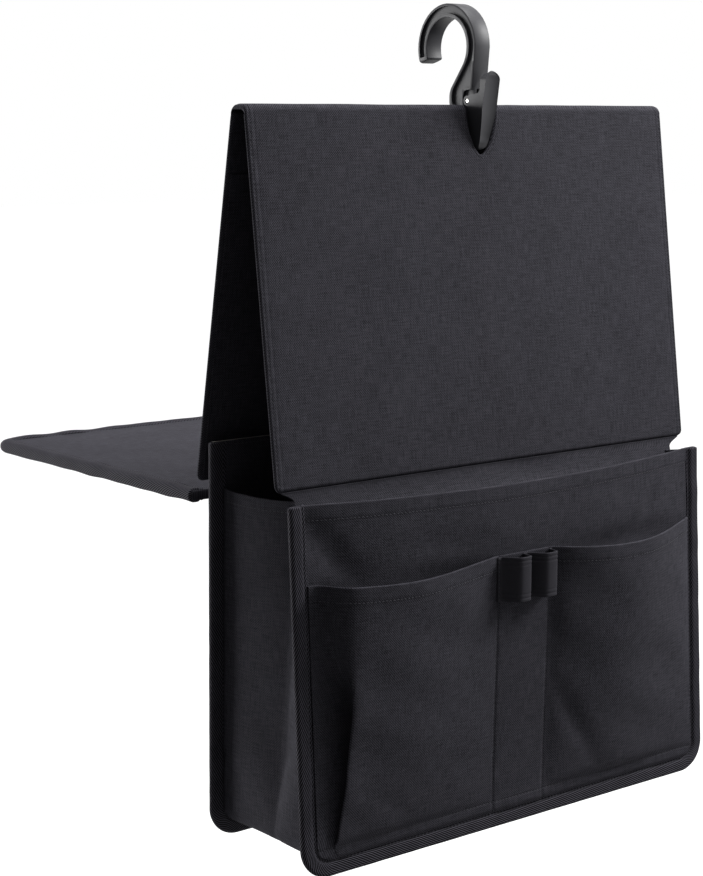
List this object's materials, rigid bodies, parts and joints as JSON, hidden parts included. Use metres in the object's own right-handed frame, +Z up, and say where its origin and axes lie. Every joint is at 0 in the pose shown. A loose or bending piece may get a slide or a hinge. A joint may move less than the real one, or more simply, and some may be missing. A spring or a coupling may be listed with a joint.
{
  "type": "seat back organizer",
  "caption": "Black cloth bag with front pockets and pen loops under a ridge of stiff panels, with a rear flap and a plastic clip hook to hang it by.",
  "frame": {"origin": "seat of the hook: the inside of its ring, at the top, in the middle of its breadth", "axes": "+Z up, +Y to the rear, where the hook opens and the flap points, +X to the right seen from the front"},
  "size_m": [0.38, 0.4163, 0.5638],
  "materials": {
    "oxford_cloth": "matte fine twill",
    "binding_tape": "matte twill tape",
    "webbing": "matte woven tape",
    "stiffener": "plain board",
    "hook_plastic": "satin moulded",
    "steel": "plated"
  },
  "bodies": {
    "hook": {"hook_body": "hook_plastic", "lever_pin": "steel", "clip_spring": "steel"},
    "lever": {"clip_lever": "hook_plastic"},
    "ridge": {"ridge_fold_left": "oxford_cloth", "ridge_fold_right": "oxford_cloth", "hanging_tape": "webbing"},
    "front_panel": {"front_panel_cover": "oxford_cloth", "front_panel_board": "stiffener", "front_panel_lining": "oxford_cloth"},
    "rear_panel": {"rear_panel_cover": "oxford_cloth", "rear_panel_board": "stiffener", "rear_panel_lining": "oxford_cloth"},
    "bag_front": {"front_wall": "oxford_cloth", "front_binding": "binding_tape", "pocket_sheet": "oxford_cloth", "pen_loop_tape": "webbing", "front_hinge_strip": "oxford_cloth"},
    "bag_back": {"back_wall_cloth": "oxford_cloth", "back_wall_board": "stiffener", "back_wall_lining": "oxford_cloth", "back_binding": "binding_tape", "gusset_strip": "oxford_cloth", "rear_hinge_strip": "oxford_cloth"},
    "flap": {"flap_top_cloth": "oxford_cloth", "flap_board": "stiffener", "flap_under_cloth": "oxford_cloth", "flap_binding": "binding_tape"}
  },
  "joints": [
    {"name": "clip_squeeze", "type": "hinge", "parent": "hook", "child": "lever", "pos_m": [0, -0.0216, -0.057], "axis": [-1, 0, 0], "range_deg": [0, 18], "stiffness_Nm_per_rad": 0.5, "springref_deg": -14.32, "deforming": ["clip_spring"]},
    {"name": "hook_swing", "type": "hinge", "parent": "hook", "child": "ridge", "pos_m": [0, -0.0211, -0.0794], "axis": [1, 0, 0], "range_deg": [-18, 18], "deforming": ["hanging_tape"]},
    {"name": "fold", "type": "hinge", "parent": "ridge", "child": "front_panel", "pos_m": [0, -0.0245, -0.0662], "axis": [1, 0, 0], "range_deg": [0, 6], "deforming": ["gusset_strip"]},
    {"name": "rear_fold", "type": "hinge", "parent": "ridge", "child": "rear_panel", "pos_m": [0, -0.0111, -0.0662], "axis": [1, 0, 0], "range_deg": [-9, 0]},
    {"name": "front_wall_hinge", "type": "hinge", "parent": "front_panel", "child": "bag_front", "pos_m": [0, -0.0547, -0.3039], "axis": [1, 0, 0], "range_deg": [-6.5, 0], "deforming": ["front_hinge_strip"]},
    {"name": "back_wall_hinge", "type": "hinge", "parent": "rear_panel", "child": "bag_back", "pos_m": [0, 0.0327, -0.3079], "axis": [1, 0, 0], "range_deg": [0, 9]},
    {"name": "flap_turn", "type": "hinge", "parent": "bag_back", "child": "flap", "pos_m": [0, 0.0409, -0.3194], "axis": [1, 0, 0], "range_deg": [-88, 85]}
  ],
  "couplings": [
    {"joint": "rear_fold", "follows": "fold", "ratio": -1.4186},
    {"joint": "front_wall_hinge", "follows": "fold", "ratio": -1},
    {"joint": "back_wall_hinge", "follows": "fold", "ratio": 1.4186}
  ]
}
